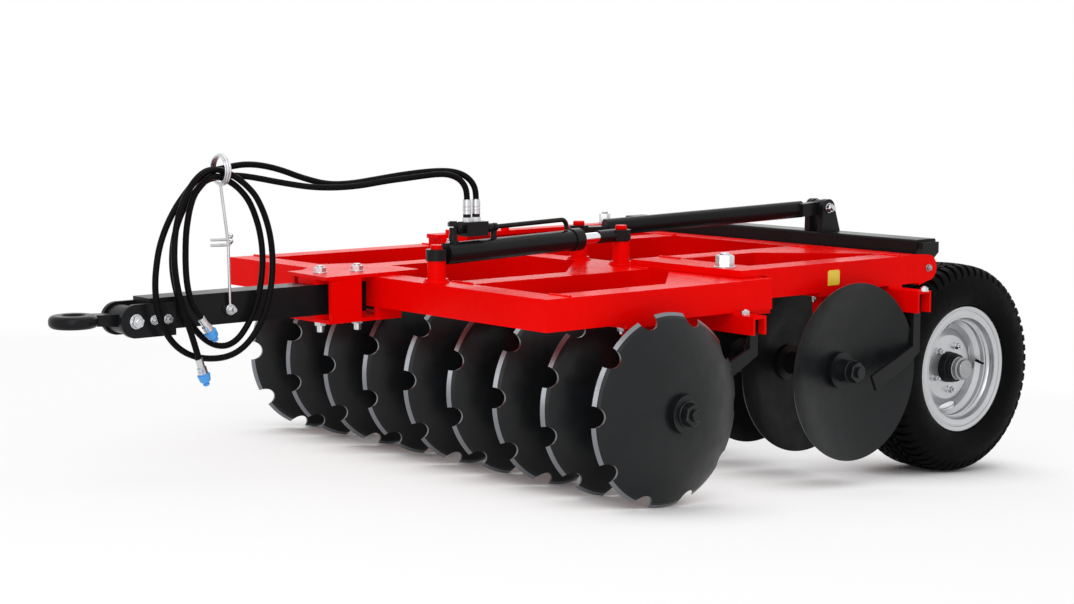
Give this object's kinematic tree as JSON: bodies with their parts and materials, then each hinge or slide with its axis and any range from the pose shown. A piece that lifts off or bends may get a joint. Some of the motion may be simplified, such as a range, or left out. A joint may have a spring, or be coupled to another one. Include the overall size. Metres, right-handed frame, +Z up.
{
  "type": "trailed offset disc harrow",
  "caption": "Trailed offset disc harrow with two hinged tube frames, notched and plain disc gangs, drawbar, hydraulic lift linkage and transport wheels.",
  "frame": {"origin": "centre of the machine's bounding box (without the hoses) at the floor it stands on", "axes": "+X rearward along the direction of travel, +Y to the machine's right-hand side, +Z up"},
  "size_m": [3.5957, 2.218, 1.0166],
  "materials": {
    "red_paint": "gloss",
    "black_paint": "satin",
    "disc_steel": "satin",
    "bright_steel": "polished",
    "rim_silver": "semi-gloss",
    "tyre_rubber": "matte",
    "hose_rubber": "satin",
    "blue_cap": "gloss"
  },
  "bodies": {
    "front_frame": {"front_beam": "red_paint", "front_cross_beam": "red_paint", "front_left_beam": "red_paint", "front_inner_left_beam": "red_paint", "front_inner_right_beam": "red_paint", "front_right_beam": "red_paint", "front_gussets": "red_paint", "front_hanger_left": "red_paint", "front_hanger_inner_left": "red_paint", "front_hanger_inner_right": "red_paint", "front_hanger_right": "red_paint", "front_scraper_bar": "red_paint", "front_scrapers": "black_paint", "drawbar_tube": "black_paint", "drawbar_bracket": "red_paint", "hitch_cheeks": "black_paint", "barrel_post": "red_paint", "cross_beam_posts": "red_paint", "adjusting_bar": "red_paint", "hose_holder": "bright_steel", "hose_a": "hose_rubber", "hose_b": "hose_rubber", "hose_couplings": "bright_steel", "coupling_caps": "blue_cap"},
    "tow_eye_body": {"tow_eye": "black_paint"},
    "front_gang": {"front_discs": "disc_steel", "front_spools": "disc_steel"},
    "rear_frame": {"rear_cross_beam": "red_paint", "rear_left_beam": "red_paint", "rear_inner_left_beam": "red_paint", "rear_inner_right_beam": "red_paint", "rear_right_beam": "red_paint", "rear_gusset": "red_paint", "hinge_plates": "red_paint", "pivot_ear_left": "red_paint", "pivot_ear_right": "red_paint", "rear_hanger_left": "red_paint", "rear_hanger_inner_left": "red_paint", "rear_hanger_inner_right": "red_paint", "rear_hanger_right": "red_paint", "rear_scraper_bar": "red_paint", "rear_scrapers": "black_paint"},
    "rear_gang": {"rear_discs": "disc_steel", "rear_spools": "disc_steel"},
    "rockshaft": {"rockshaft_beam": "black_paint", "wheel_arm_left": "black_paint", "wheel_arm_right": "black_paint"},
    "wheel_left": {"tyre_left": "tyre_rubber", "rim_left": "rim_silver", "hub_left": "black_paint"},
    "wheel_right": {"tyre_right": "tyre_rubber", "rim_right": "rim_silver", "hub_right": "black_paint"},
    "cylinder_body": {"cylinder_barrel": "black_paint", "oil_fittings": "black_paint"},
    "rod_body": {"cylinder_rod": "bright_steel"},
    "strut_body": {"strut": "black_paint"}
  },
  "joints": [
    {"name": "tow_eye_pitch", "type": "hinge", "parent": "front_frame", "child": "tow_eye_body", "pos_m": [-1.54574, 0.07, 0.49077], "axis": [0, 1, 0], "range_deg": [-25, 25]},
    {"name": "front_gang_spin", "type": "hinge", "parent": "front_frame", "child": "front_gang", "pos_m": [-0.24389, -0.0175, 0.305], "axis": [0, 1, 0], "continuous": true},
    {"name": "frame_angle", "type": "hinge", "parent": "front_frame", "child": "rear_frame", "pos_m": [0.23282, -0.73, 0.72237], "axis": [0.0759, 0, -0.9971], "range_deg": [0, 15]},
    {"name": "rear_gang_spin", "type": "hinge", "parent": "rear_frame", "child": "rear_gang", "pos_m": [0.69572, -0.0175, 0.39856], "axis": [0, 1, 0], "continuous": true},
    {"name": "rockshaft_turn", "type": "hinge", "parent": "rear_frame", "child": "rockshaft", "pos_m": [1.13794, -0.0175, 0.75513], "axis": [0, -1, 0], "range_deg": [0, 35]},
    {"name": "wheel_left_spin", "type": "hinge", "parent": "rockshaft", "child": "wheel_left", "pos_m": [1.41389, -0.704, 0.384], "axis": [0, 1, 0], "continuous": true},
    {"name": "wheel_right_spin", "type": "hinge", "parent": "rockshaft", "child": "wheel_right", "pos_m": [1.41389, 0.669, 0.384], "axis": [0, 1, 0], "continuous": true},
    {"name": "strut_pivot", "type": "hinge", "parent": "rockshaft", "child": "strut_body", "pos_m": [1.15888, -0.29, 0.94126], "axis": [0, -1, 0], "range_deg": [-38, 0]},
    {"name": "cylinder_swing", "type": "hinge", "parent": "front_frame", "child": "cylinder_body", "pos_m": [-0.64545, -0.302, 0.73207], "axis": [-0.0759, 0, 0.9971], "range_deg": [-2, 2]},
    {"name": "rod_slide", "type": "slide", "parent": "cylinder_body", "child": "rod_body", "axis": [0.9927, 0.0746, 0.0942], "range_m": [-0.085, 0]}
  ],
  "couplings": [
    {"joint": "strut_pivot", "follows": "rockshaft_turn", "ratio": -1.06}
  ]
}
